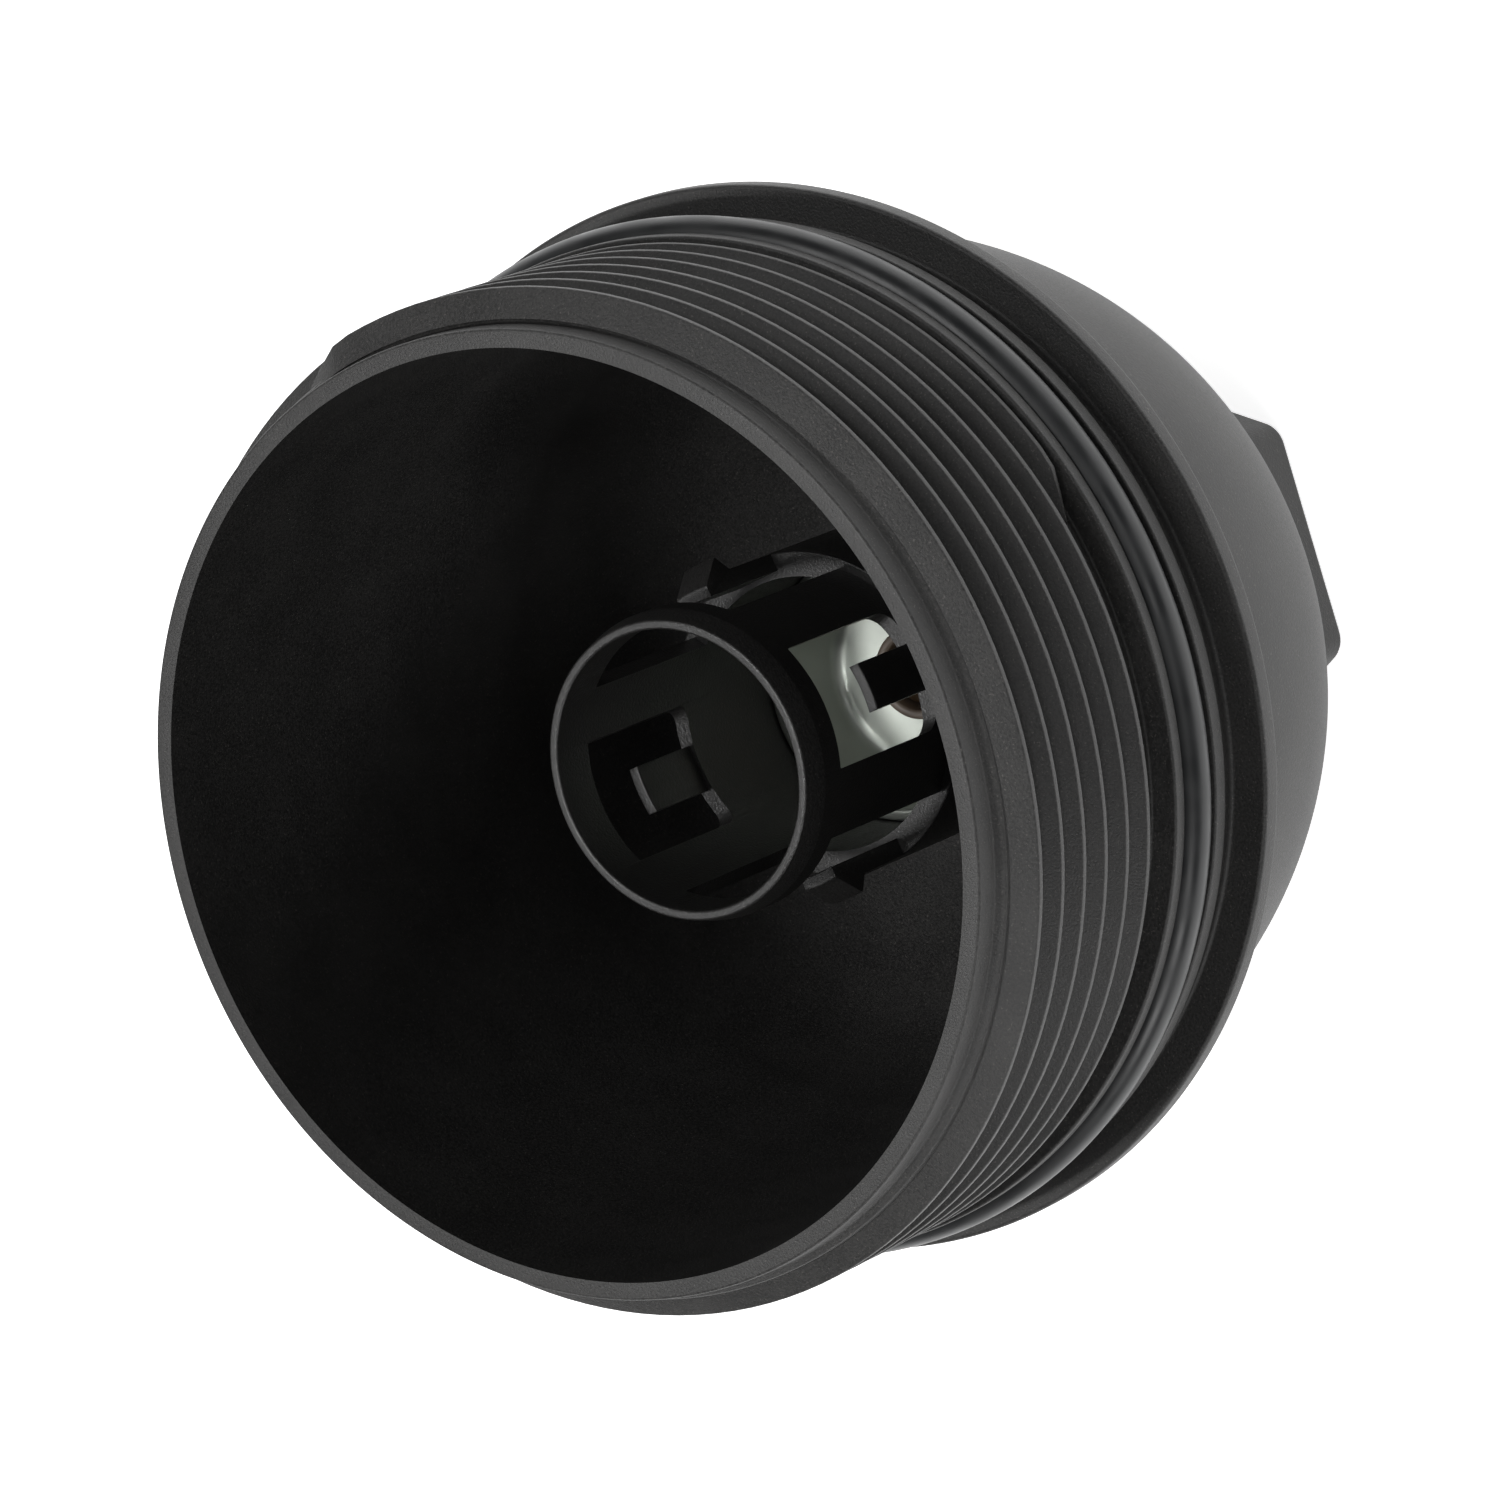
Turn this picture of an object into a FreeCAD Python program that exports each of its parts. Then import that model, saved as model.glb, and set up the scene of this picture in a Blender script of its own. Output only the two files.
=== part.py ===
import FreeCAD, Part
import math
import os

# Screw-on cap for a cartridge oil filter housing, in millimetres.
# The cap stands on the end face of its hexagon with the open mouth up, and the Z axis is
# its turning axis. X runs through the two snap arms, and -Y is the front tongue.
# "depth" is a distance down from the lip at the top of the mouth.

V = FreeCAD.Vector
UP = V(0, 0, 1)
ORIGIN = V(0, 0, 0)

# Overall
TOTAL_HEIGHT = 86.0          # lip to hexagon end face
HEX_ACROSS_FLATS = 32.0      # standard socket size
HEX_CORNER_RADIUS = 2.2
HEX_EDGE_BREAK = 0.8
HEX_CLOCKING = -9.0          # degrees from -Y to the middle of the nearest flat
HEX_POCKET_RADIUS = 9.0      # cored hollow in the end of the hexagon
HEX_POCKET_FLOOR = 4.0       # plastic left between the hollow and the inside of the dome

# Thread, right hand
THREAD_RADIUS = 39.0         # the other radii of the skirt are steps from this one
THREAD_PITCH = 3.0
THREAD_HEIGHT = 1.84
THREAD_CREST = 0.5
THREAD_FLANK = 30.0          # degrees
THREAD_FIRST_DEPTH = 3.2     # depth of the crest where the thread starts
THREAD_START = 12.5          # azimuth of the start, degrees
THREAD_TURNS = 6.27
THREAD_LEAD_IN = 8.0         # degrees over which the first crest rises
THREAD_SINK = 0.3            # how far the swept tooth reaches into the core

# Skirt and mouth
LIP_STEP = 2.5               # thread crest to the plain neck
LIP_WALL = 1.4
MOUTH_DRAFT = 0.5            # the bore narrows by this much on its way to the flange
LIP_BREAK = 0.25
NECK_DEPTH = 2.1             # plain neck before the thread
NECK_RUNOUT = 0.5

# Seal ring groove and flange, as depths from the lip and steps from the thread crest
RIDGE_DEPTH = 22.7
RIDGE_PROUD = 0.3
RIDGE_LENGTH = 1.3
SEAL_CORD = 3.0              # section of the sealing ring
SEAL_FRONT_GAP = 0.05        # the ring rests against the ridge
SEAL_REAR_GAP = 0.9
LAND_PROUD = 0.6
LAND_LENGTH = 1.45
GROOVE_CUT = 2.25            # land down to the groove floor
RELIEF_STEP = 0.4
FLANGE_DEPTH = 31.8
FLANGE_PROUD = 2.6
FLANGE_LENGTH = 1.95
FLANGE_BREAK = 0.2

# Dome
DOME_STEP = 2.8              # thread crest to the dome
DOME_CENTRE_DEPTH = 41.2
DOME_WALL = 3.2
SHOULDER_FILLET = 1.2

# Standpipe
PIPE_RIM_DEPTH = 16.0
PIPE_RADIUS = 12.0
PIPE_RIM_STEP = 0.5
PIPE_LEAD_IN = 2.0
PIPE_WALL = 1.2
COLLAR_STEP = 0.75           # thicker lower part of the standpipe
COLLAR_DEPTH = 35.2          # ledge where the collar starts
SOCKET_WALL = 2.4
SOCKET_HEIGHT = 7.0
SOCKET_CLEARANCE = 0.05
SOCKET_SEAT_WIDTH = 2.6
SOCKET_SEAT_RISE = 0.5       # seat of the foot above the dome's floor
FOOT_SEAL_CORD = 1.2
FOOT_SEAL_RISE = 3.0         # foot to the middle of its seal
FOOT_SEAL_ROOM = 1.3         # groove length over the seal's section

# Windows in the standpipe
WINDOW_DEPTH = 20.1          # edge nearest the mouth, all four windows
TONGUE_WINDOW_END = 33.6
TONGUE_WINDOW_HALF = 24.0    # degrees
TONGUE_WINDOW_CORNER = 1.2
ARM_WINDOW_HALF = 39.0       # degrees
PORT_WIDTH = 6.0
PORT_BOTTOM_RISE = 9.0       # foot to the bottom of the ports
PORT_HEIGHT = 7.0

# Snap arms, tapered from the root to the barb
ARM_ROOT_WIDTH = 4.5
ARM_HEAD_WIDTH = 3.1
ARM_THICKNESS = 1.55
BARB_PROUD = 1.25            # barb over the shank
BARB_FOOT_DEPTH = 30.5       # end of the plain shank
BARB_DEPTH = 29.3
ARM_TIP_DEPTH = 26.9
ARM_TIP_STEP = 0.6           # outer edge of the tip, in from the shank
ARM_NOSE_BREAK = 0.2

# Latch tongues
TONGUE_HALF = 9.0            # degrees
TONGUE_THICKNESS = 0.9
TONGUE_TIP_DEPTH = 26.3
HINGE_CLEARANCE = 0.05       # between a flexing root and the saddle it turns in

# Bypass valve
CUP_SHEET = 0.8
CUP_RIM_DEPTH = 45.0
CUP_DROP = 5.6               # rim down to the floor
CUP_CLEARANCE = 0.05
CUP_RIM_WIDTH = 0.85
CUP_TAPER = 2.0              # the floor is this much smaller in radius than the mouth
CUP_LEDGE = 0.8              # step of the bore that carries the rim
CUP_BEND = 1.0
CUP_HOLE_RADIUS = 3.25
SEAT_WALL = 0.35             # rubber inside the hole of the cup
SEAT_RIM = 0.4               # rubber that overlaps the cup
SEAT_LIP = 0.7
SEAT_RISE = 1.3
POPPET_HEAD_RADIUS = 5.0
POPPET_HEAD = 1.6
POPPET_NOSE_GAP = 0.3
POPPET_NOSE_RISE = 2.2
POPPET_GAP = 0.02            # running gap left at the shut seat
STEM_RADIUS = 1.5
STEM_CLEARANCE = 0.05
SPRING_SEAT_RISE = 6.0       # foot to the top of the cage
SPRING_RADIUS = 3.9
SPRING_WIRE = 0.8
SPRING_TURNS = 6.0
SPRING_END_GAP = 0.03
CAGE_THICKNESS = 2.0
CAGE_RIM = 1.6
CAGE_HUB_WALL = 3.65
CAGE_SPOKES = 4
CAGE_SPOKE_WIDTH = 2.4
CLIP_WIDTH = 1.9
CLIP_THICKNESS = 0.7
CLIP_GROOVE = 0.35
CLIP_SLOT = 1.6
STEM_TAIL = 0.9


def height(depth):
    """Z of a point at this depth below the lip."""
    return TOTAL_HEIGHT - depth


def polar(radius, azimuth, z):
    turn = math.radians(azimuth)
    return V(radius * math.cos(turn), radius * math.sin(turn), z)


def rz(radius, z):
    """A point of a turned profile, in the XZ plane."""
    return V(radius, 0, z)


def line(a, b):
    return Part.LineSegment(a, b).toShape()


def arc(a, middle, b):
    return Part.Arc(a, middle, b).toShape()


def turned(edges):
    """Solid of revolution about Z of a closed profile in the XZ plane."""
    face = Part.Face(Part.Wire(edges))
    return face.revolve(ORIGIN, UP, 360)


def turned_polygon(points):
    corners = [rz(*point) for point in points]
    return turned([line(a, b) for a, b in zip(corners, corners[1:] + corners[:1])])


def tube(outer, inner, bottom, top):
    return turned_polygon([(inner, bottom), (outer, bottom), (outer, top), (inner, top)])


def sector(half_angle, azimuth, bottom, top, reach=60.0):
    """A wedge about Z, used to cut or keep a slice of a turned shape."""
    left = polar(reach, azimuth - half_angle, bottom)
    right = polar(reach, azimuth + half_angle, bottom)
    centre = V(0, 0, bottom)
    wire = Part.makePolygon([centre, left, right, centre])
    return Part.Face(wire).extrude(V(0, 0, top - bottom))


def block(size_x, size_y, bottom, top, x=0.0, y=0.0, azimuth=0.0):
    """A box centred on x, y and then turned about Z."""
    box = Part.makeBox(size_x, size_y, top - bottom, V(x - size_x / 2, y - size_y / 2, bottom))
    box.rotate(ORIGIN, UP, azimuth)
    return box


# Radii and heights worked out from the driving dimensions
LIP_RADIUS = THREAD_RADIUS - LIP_STEP
MOUTH_RADIUS = LIP_RADIUS - LIP_WALL
ROOT_RADIUS = THREAD_RADIUS - THREAD_HEIGHT
RIDGE_RADIUS = THREAD_RADIUS + RIDGE_PROUD
LAND_RADIUS = THREAD_RADIUS + LAND_PROUD
GROOVE_RADIUS = LAND_RADIUS - GROOVE_CUT
RELIEF_RADIUS = THREAD_RADIUS - RELIEF_STEP
FLANGE_RADIUS = THREAD_RADIUS + FLANGE_PROUD
FLANGE_FRONT = height(FLANGE_DEPTH)
FLANGE_REAR = height(FLANGE_DEPTH + FLANGE_LENGTH)
GROOVE_TOP = height(RIDGE_DEPTH + RIDGE_LENGTH)
GROOVE_BOTTOM = GROOVE_TOP - SEAL_CORD - SEAL_FRONT_GAP - SEAL_REAR_GAP
LAND_BOTTOM = GROOVE_BOTTOM - LAND_LENGTH
DOME_RADIUS = THREAD_RADIUS - DOME_STEP
DOME_INNER_RADIUS = DOME_RADIUS - DOME_WALL
DOME_CENTRE = height(DOME_CENTRE_DEPTH)
BORE_RADIUS = PIPE_RADIUS - PIPE_WALL
COLLAR_RADIUS = PIPE_RADIUS + COLLAR_STEP
SOCKET_RADIUS = COLLAR_RADIUS + SOCKET_CLEARANCE
PIPE_RIM = height(PIPE_RIM_DEPTH)
LEDGE = height(COLLAR_DEPTH)
FOOT = DOME_CENTRE - math.sqrt(DOME_INNER_RADIUS ** 2 - SOCKET_RADIUS ** 2) + SOCKET_SEAT_RISE
WINDOW_TOP = height(WINDOW_DEPTH)
TONGUE_SILL = height(TONGUE_WINDOW_END)
ARM_TIP = height(ARM_TIP_DEPTH)
ARM_INNER_RADIUS = COLLAR_RADIUS - ARM_THICKNESS
ARM_MIDDLE_RADIUS = COLLAR_RADIUS - ARM_THICKNESS / 2
TONGUE_INNER_RADIUS = PIPE_RADIUS - TONGUE_THICKNESS
TONGUE_MIDDLE_RADIUS = PIPE_RADIUS - TONGUE_THICKNESS / 2
CUP_RIM = height(CUP_RIM_DEPTH)
CUP_FLOOR = CUP_RIM - CUP_DROP
CUP_RIM_RADIUS = BORE_RADIUS - CUP_CLEARANCE
CUP_MOUTH_RADIUS = CUP_RIM_RADIUS - CUP_RIM_WIDTH
CUP_FLOOR_RADIUS = CUP_MOUTH_RADIUS - CUP_TAPER
SEAT_INNER_RADIUS = CUP_HOLE_RADIUS - SEAT_WALL
SEAT_OUTER_RADIUS = CUP_HOLE_RADIUS + SEAT_RIM
SEAT_BOTTOM = CUP_FLOOR - CUP_SHEET - SEAT_LIP
POPPET_NOSE_RADIUS = SEAT_INNER_RADIUS - POPPET_NOSE_GAP
HEAD_TOP = SEAT_BOTTOM - POPPET_GAP
HEAD_BOTTOM = HEAD_TOP - POPPET_HEAD
SPRING_SEAT = FOOT + SPRING_SEAT_RISE
CAGE_BOTTOM = SPRING_SEAT - CAGE_THICKNESS
CAGE_HUB_RADIUS = STEM_RADIUS + STEM_CLEARANCE + CAGE_HUB_WALL
CLIP_TOP = CAGE_BOTTOM - POPPET_GAP
NECK_RADIUS = STEM_RADIUS - CLIP_GROOVE


def shell_outside():
    """The outside of skirt, flange and dome as one filled turned solid."""
    top = TOTAL_HEIGHT
    neck = height(NECK_DEPTH)
    ridge_top = height(RIDGE_DEPTH)
    shoulder = FLANGE_REAR - SHOULDER_FILLET
    bend = SHOULDER_FILLET * (1 - math.sqrt(0.5))
    pole = DOME_CENTRE - DOME_RADIUS
    side = math.sqrt(0.5) * DOME_RADIUS
    points = [
        (0, top), (LIP_RADIUS - LIP_BREAK, top), (LIP_RADIUS, top - LIP_BREAK),
        (LIP_RADIUS, neck), (ROOT_RADIUS, neck - NECK_RUNOUT), (ROOT_RADIUS, ridge_top),
        (RIDGE_RADIUS, ridge_top), (RIDGE_RADIUS, GROOVE_TOP), (GROOVE_RADIUS, GROOVE_TOP),
        (GROOVE_RADIUS, GROOVE_BOTTOM), (LAND_RADIUS, GROOVE_BOTTOM), (LAND_RADIUS, LAND_BOTTOM),
        (RELIEF_RADIUS, LAND_BOTTOM), (RELIEF_RADIUS, FLANGE_FRONT),
        (FLANGE_RADIUS - FLANGE_BREAK, FLANGE_FRONT), (FLANGE_RADIUS, FLANGE_FRONT - FLANGE_BREAK),
        (FLANGE_RADIUS, FLANGE_REAR + FLANGE_BREAK), (FLANGE_RADIUS - FLANGE_BREAK, FLANGE_REAR),
        (DOME_RADIUS + SHOULDER_FILLET, FLANGE_REAR),
    ]
    corners = [rz(*point) for point in points]
    edges = [line(a, b) for a, b in zip(corners, corners[1:])]
    edges.append(arc(corners[-1], rz(DOME_RADIUS + bend, FLANGE_REAR - bend), rz(DOME_RADIUS, shoulder)))
    edges.append(line(rz(DOME_RADIUS, shoulder), rz(DOME_RADIUS, DOME_CENTRE)))
    edges.append(arc(rz(DOME_RADIUS, DOME_CENTRE), rz(side, DOME_CENTRE - side), rz(0, pole)))
    edges.append(line(rz(0, pole), corners[0]))
    return turned(edges)


def shell_inside():
    """The hollow of the cap, less the socket ring that stands on its floor."""
    over = TOTAL_HEIGHT + 1
    pole = DOME_CENTRE - DOME_INNER_RADIUS
    side = math.sqrt(0.5) * DOME_INNER_RADIUS
    bore_end = MOUTH_RADIUS - MOUTH_DRAFT
    start = rz(DOME_INNER_RADIUS, DOME_CENTRE)
    hollow = turned([
        line(rz(0, over), rz(MOUTH_RADIUS + LIP_BREAK, over)),
        line(rz(MOUTH_RADIUS + LIP_BREAK, over), rz(MOUTH_RADIUS + LIP_BREAK, TOTAL_HEIGHT)),
        line(rz(MOUTH_RADIUS + LIP_BREAK, TOTAL_HEIGHT), rz(MOUTH_RADIUS, TOTAL_HEIGHT - LIP_BREAK)),
        line(rz(MOUTH_RADIUS, TOTAL_HEIGHT - LIP_BREAK), rz(bore_end, FLANGE_FRONT)),
        line(rz(bore_end, FLANGE_FRONT), start),
        arc(start, rz(side, DOME_CENTRE - side), rz(0, pole)),
        line(rz(0, pole), rz(0, over)),
    ])
    ring = tube(SOCKET_RADIUS + SOCKET_WALL, SOCKET_RADIUS, pole - 1, FOOT + SOCKET_HEIGHT)
    seat = tube(SOCKET_RADIUS + SOCKET_WALL, SOCKET_RADIUS - SOCKET_SEAT_WIDTH, pole - 1, FOOT)
    return hollow.cut(ring).cut(seat)


def hexagon():
    """Drive hexagon, from its end face up into the wall of the dome."""
    corner = HEX_ACROSS_FLATS / math.sqrt(3)
    first = -90 + HEX_CLOCKING + 30
    points = [polar(corner, first + 60 * k, 0) for k in range(7)]
    top = DOME_CENTRE - math.sqrt(DOME_RADIUS ** 2 - corner ** 2) + DOME_WALL
    prism = Part.Face(Part.makePolygon(points)).extrude(V(0, 0, top))
    upright = [e for e in prism.Edges if abs(e.Vertexes[0].Z - e.Vertexes[1].Z) > 1]
    prism = prism.makeFillet(HEX_CORNER_RADIUS, upright)
    foot = [e for e in prism.Edges if e.BoundBox.ZMax < 0.01]
    return prism.makeChamfer(HEX_EDGE_BREAK, foot)


def thread_tooth():
    """One tooth swept along a right-hand helix, with a short ramp at each end."""
    run = THREAD_PITCH * THREAD_TURNS
    flank = math.tan(math.radians(THREAD_FLANK))
    first = height(THREAD_FIRST_DEPTH) - run
    half_crest = THREAD_CREST / 2
    half_root = half_crest + (THREAD_HEIGHT + THREAD_SINK) * flank
    inner = ROOT_RADIUS - THREAD_SINK
    section = [rz(inner, -half_root), rz(THREAD_RADIUS, -half_crest),
               rz(THREAD_RADIUS, half_crest), rz(inner, half_root)]
    profile = Part.Wire([line(a, b) for a, b in zip(section, section[1:] + section[:1])])
    helix = Part.makeHelix(THREAD_PITCH, run, ROOT_RADIUS)
    tooth = Part.Wire(helix).makePipeShell([profile], True, True)
    tooth.rotate(ORIGIN, UP, THREAD_START - 360 * THREAD_TURNS)
    tooth.translate(V(0, 0, first))
    lead = ramp_cutter(THREAD_START, -1)
    lead.translate(V(0, 0, first + run - THREAD_PITCH / 2))
    tail = ramp_cutter(THREAD_START - 360 * THREAD_TURNS, 1)
    tail.translate(V(0, 0, first - THREAD_PITCH / 2))
    return tooth.cut(lead).cut(tail)


def ramp_cutter(azimuth, side):
    """A prism one pitch tall whose long face slopes from the crest down to the root."""
    outside = THREAD_RADIUS + 2
    over = 2.0
    rise = THREAD_LEAD_IN * side
    points = [polar(ROOT_RADIUS - 0.1, azimuth, 0), polar(THREAD_RADIUS + 0.05, azimuth + rise, 0),
              polar(outside + 2, azimuth + rise, 0), polar(outside + 2, azimuth - over * side, 0),
              polar(ROOT_RADIUS - 1, azimuth - over * side, 0)]
    return Part.Face(Part.makePolygon(points + points[:1])).extrude(V(0, 0, THREAD_PITCH))


def cap_shell():
    body = shell_outside().fuse(hexagon()).fuse(thread_tooth())
    body = body.cut(shell_inside())
    pocket_depth = DOME_CENTRE - DOME_INNER_RADIUS - HEX_POCKET_FLOOR
    body = body.cut(Part.makeCylinder(HEX_POCKET_RADIUS, pocket_depth, ORIGIN, UP))
    return body.removeSplitter()


def sealing_ring():
    """Rubber ring that rests against the ridge and stands proud of the thread."""
    centre = GROOVE_RADIUS + SEAL_CORD / 2
    middle = GROOVE_TOP - SEAL_FRONT_GAP - SEAL_CORD / 2
    return Part.makeTorus(centre, SEAL_CORD / 2, V(0, 0, middle), UP)


def pipe_blank():
    """The standpipe before its windows: rim, collar, and the bore with its step for the cup."""
    step_radius = BORE_RADIUS - CUP_LEDGE
    step = CUP_RIM - CUP_SHEET
    return turned_polygon([
        (BORE_RADIUS, PIPE_RIM), (PIPE_RADIUS - PIPE_RIM_STEP, PIPE_RIM),
        (PIPE_RADIUS, PIPE_RIM - PIPE_LEAD_IN), (PIPE_RADIUS, LEDGE), (COLLAR_RADIUS, LEDGE),
        (COLLAR_RADIUS, FOOT), (BORE_RADIUS, FOOT), (BORE_RADIUS, SPRING_SEAT),
        (step_radius, SPRING_SEAT), (step_radius, step), (BORE_RADIUS, step),
    ])


def tongue_window(azimuth):
    """Window with square corners towards the mouth and round ones at its sill."""
    width = 2 * PIPE_RADIUS * math.sin(math.radians(TONGUE_WINDOW_HALF))
    slab = block(10.0, width, TONGUE_SILL, WINDOW_TOP, x=PIPE_RADIUS)
    low = [e for e in slab.Edges if e.BoundBox.ZMax < TONGUE_SILL + 0.01 and e.BoundBox.XLength > 1]
    slab = slab.makeFillet(TONGUE_WINDOW_CORNER, low)
    slab.rotate(ORIGIN, UP, azimuth)
    return slab


def root_cylinder(middle_radius, radius, level, width):
    return Part.makeCylinder(radius, width, V(middle_radius, -width / 2, level), V(0, 1, 0))


def saddle(middle_radius, thickness, level, width, azimuth):
    """Half-round trough that a flexing root turns in."""
    radius = thickness / 2 + HINGE_CLEARANCE
    trough = root_cylinder(middle_radius, radius, level, width + 2 * HINGE_CLEARANCE)
    trough.rotate(ORIGIN, UP, azimuth)
    return trough


def chord(radius, half_angle):
    return 2 * radius * math.sin(math.radians(half_angle))


def standpipe():
    """Centre tube with its collar, four windows and the ports below the valve."""
    pipe = pipe_blank()
    for azimuth in (0, 180):
        pipe = pipe.cut(sector(ARM_WINDOW_HALF, azimuth, LEDGE, WINDOW_TOP))
        pipe = pipe.cut(saddle(ARM_MIDDLE_RADIUS, ARM_THICKNESS, LEDGE, ARM_ROOT_WIDTH, azimuth))
    width = chord(PIPE_RADIUS, TONGUE_HALF)
    for azimuth in (-90, 90):
        pipe = pipe.cut(tongue_window(azimuth))
        pipe = pipe.cut(saddle(TONGUE_MIDDLE_RADIUS, TONGUE_THICKNESS, TONGUE_SILL, width, azimuth))
    bottom = FOOT + PORT_BOTTOM_RISE
    for azimuth in (0, 90):
        pipe = pipe.cut(block(4 * COLLAR_RADIUS, PORT_WIDTH, bottom, bottom + PORT_HEIGHT, azimuth=azimuth))
    middle = FOOT + FOOT_SEAL_RISE
    half_length = FOOT_SEAL_CORD * FOOT_SEAL_ROOM / 2
    groove_floor = SOCKET_RADIUS - FOOT_SEAL_CORD
    return pipe.cut(tube(COLLAR_RADIUS + 1, groove_floor, middle - half_length, middle + half_length))


def foot_seal():
    """Small rubber ring between the foot of the standpipe and its socket."""
    radius = SOCKET_RADIUS - FOOT_SEAL_CORD / 2
    return Part.makeTorus(radius, FOOT_SEAL_CORD / 2, V(0, 0, FOOT + FOOT_SEAL_RISE), UP)


def arm_taper():
    """Prism that narrows a snap arm from its root to its barb."""
    root = ARM_ROOT_WIDTH / 2
    head = ARM_HEAD_WIDTH / 2
    narrow = height(BARB_FOOT_DEPTH)
    outline = [(-root, LEDGE), (root, LEDGE), (head, narrow), (head, ARM_TIP),
               (-head, ARM_TIP), (-head, narrow), (-root, LEDGE)]
    wire = Part.makePolygon([V(ARM_INNER_RADIUS, y, z) for y, z in outline])
    return Part.Face(wire).extrude(V(2 * ARM_THICKNESS + BARB_PROUD, 0, 0))


def snap_arm(azimuth):
    """Springy arm with an outward barb, and a round root that turns in its saddle."""
    tip_radius = COLLAR_RADIUS - ARM_TIP_STEP
    ring = turned_polygon([
        (BORE_RADIUS, LEDGE), (BORE_RADIUS, ARM_TIP), (tip_radius - ARM_NOSE_BREAK, ARM_TIP),
        (tip_radius, ARM_TIP - ARM_NOSE_BREAK), (COLLAR_RADIUS + BARB_PROUD, height(BARB_DEPTH)),
        (COLLAR_RADIUS, height(BARB_FOOT_DEPTH)), (COLLAR_RADIUS, LEDGE),
    ])
    root = root_cylinder(ARM_MIDDLE_RADIUS, ARM_THICKNESS / 2, LEDGE, ARM_ROOT_WIDTH)
    root = root.common(tube(COLLAR_RADIUS, 1, LEDGE - ARM_THICKNESS, LEDGE + ARM_THICKNESS))
    arm = ring.common(arm_taper()).fuse(root).removeSplitter()
    arm.rotate(ORIGIN, UP, azimuth)
    return arm


def latch_tongue(azimuth):
    """Flat spring tongue that stands in a window of the standpipe."""
    width = chord(PIPE_RADIUS, TONGUE_HALF)
    tip = height(TONGUE_TIP_DEPTH)
    wall = tube(PIPE_RADIUS, BORE_RADIUS, TONGUE_SILL, tip)
    slab = block(PIPE_RADIUS, width, TONGUE_SILL, tip, x=TONGUE_INNER_RADIUS + PIPE_RADIUS / 2)
    root = root_cylinder(TONGUE_MIDDLE_RADIUS, TONGUE_THICKNESS / 2, TONGUE_SILL, width)
    root = root.common(tube(PIPE_RADIUS, 1, TONGUE_SILL - PIPE_WALL, TONGUE_SILL + PIPE_WALL))
    tongue = wall.common(slab).fuse(root).removeSplitter()
    tongue.rotate(ORIGIN, UP, azimuth)
    return tongue


def valve_cup():
    """Pressed steel dish that carries the valve seat, with its rim on a step of the bore."""
    slope = math.hypot(CUP_TAPER, CUP_DROP)
    shift = CUP_SHEET * CUP_DROP / slope / 2
    under_rim = CUP_RIM - CUP_SHEET
    under_floor = CUP_FLOOR - CUP_SHEET
    blank = turned_polygon([
        (CUP_HOLE_RADIUS, CUP_FLOOR), (CUP_FLOOR_RADIUS, CUP_FLOOR), (CUP_MOUTH_RADIUS, CUP_RIM),
        (CUP_RIM_RADIUS, CUP_RIM), (CUP_RIM_RADIUS, under_rim), (CUP_MOUTH_RADIUS, under_rim),
        (CUP_FLOOR_RADIUS + shift, under_floor), (CUP_HOLE_RADIUS, under_floor),
    ])
    bends = [e for e in blank.Edges if e.Curve.TypeId == "Part::GeomCircle"
             and abs(e.Curve.Radius - CUP_FLOOR_RADIUS) < 0.01]
    return blank.makeFillet(CUP_BEND, bends)


def seat_seal():
    """Rubber grommet clipped round the hole of the cup: it is the valve seat."""
    top = CUP_FLOOR + SEAT_RISE
    under_floor = CUP_FLOOR - CUP_SHEET
    bead = (SEAT_OUTER_RADIUS - SEAT_INNER_RADIUS) / 3
    return turned_polygon([
        (SEAT_INNER_RADIUS, SEAT_BOTTOM), (SEAT_OUTER_RADIUS, SEAT_BOTTOM),
        (SEAT_OUTER_RADIUS, under_floor), (CUP_HOLE_RADIUS, under_floor),
        (CUP_HOLE_RADIUS, CUP_FLOOR), (SEAT_OUTER_RADIUS, CUP_FLOOR), (SEAT_OUTER_RADIUS, top - bead),
        (SEAT_OUTER_RADIUS - bead, top), (SEAT_INNER_RADIUS + bead, top), (SEAT_INNER_RADIUS, top - bead),
    ])


def valve_poppet():
    """Mushroom valve: a nose in the seat, a flat head, and a stem with a clip groove."""
    nose_top = HEAD_TOP + POPPET_NOSE_RISE
    clip_bottom = CLIP_TOP - CLIP_THICKNESS
    tail = clip_bottom - STEM_TAIL
    nose = POPPET_NOSE_RADIUS
    return turned_polygon([
        (0, nose_top), (nose * 0.6, nose_top), (nose, nose_top - nose * 0.2), (nose, HEAD_TOP),
        (POPPET_HEAD_RADIUS, HEAD_TOP), (POPPET_HEAD_RADIUS, HEAD_BOTTOM), (STEM_RADIUS, HEAD_BOTTOM),
        (STEM_RADIUS, CLIP_TOP), (NECK_RADIUS, CLIP_TOP), (NECK_RADIUS, clip_bottom),
        (STEM_RADIUS, clip_bottom), (STEM_RADIUS, tail), (0, tail),
    ])


def stem_clip():
    """Spring-steel clip pushed sideways into the groove of the stem."""
    outer = STEM_RADIUS + CLIP_WIDTH
    bottom = CLIP_TOP - CLIP_THICKNESS
    ring = tube(outer, NECK_RADIUS, bottom, CLIP_TOP)
    return ring.cut(block(outer * 2, CLIP_SLOT, bottom - 1, CLIP_TOP + 1, x=outer))


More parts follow.
